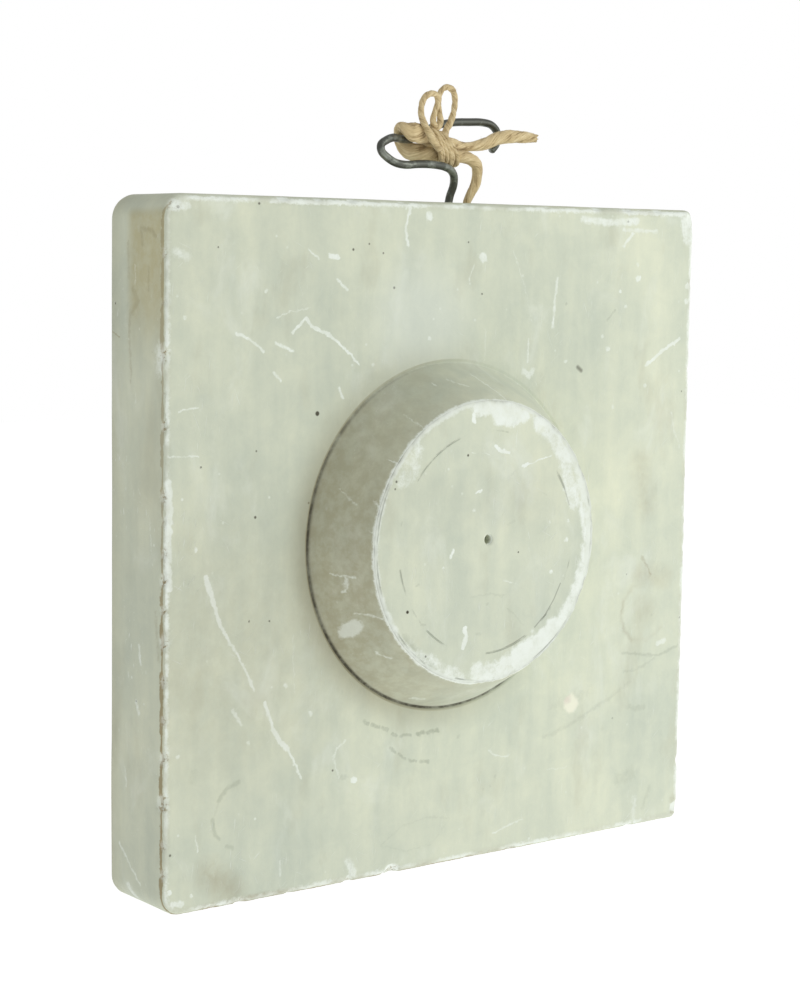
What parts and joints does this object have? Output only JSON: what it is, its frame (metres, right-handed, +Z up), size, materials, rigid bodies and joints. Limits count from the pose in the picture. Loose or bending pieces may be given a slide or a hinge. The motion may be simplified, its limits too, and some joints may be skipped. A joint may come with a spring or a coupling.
{
  "type": "wall plaque",
  "caption": "Square cast plaster wall plaque with a round flat-topped boss, hung by an open loop of steel wire with a short bound hemp cord.",
  "frame": {"origin": "centre of the slab's flat back, where it lies against the wall", "axes": "+X to the right along the wall as the viewer sees it, +Y into the wall, +Z up; the boss faces -Y"},
  "size_m": [0.25, 0.0594, 0.2939],
  "materials": {
    "plaster": "matt aged plaster with dirt and white rubs",
    "steel_wire": "dull darkened steel",
    "hemp": "soft dry hemp fibre",
    "twine": "thin dry hemp twine"
  },
  "bodies": {
    "root": {"plaque": "plaster", "hanging_wire": "steel_wire", "hemp_cord": "hemp", "twine_binding": "twine", "twine_bow": "twine"}
  },
  "joints": []
}
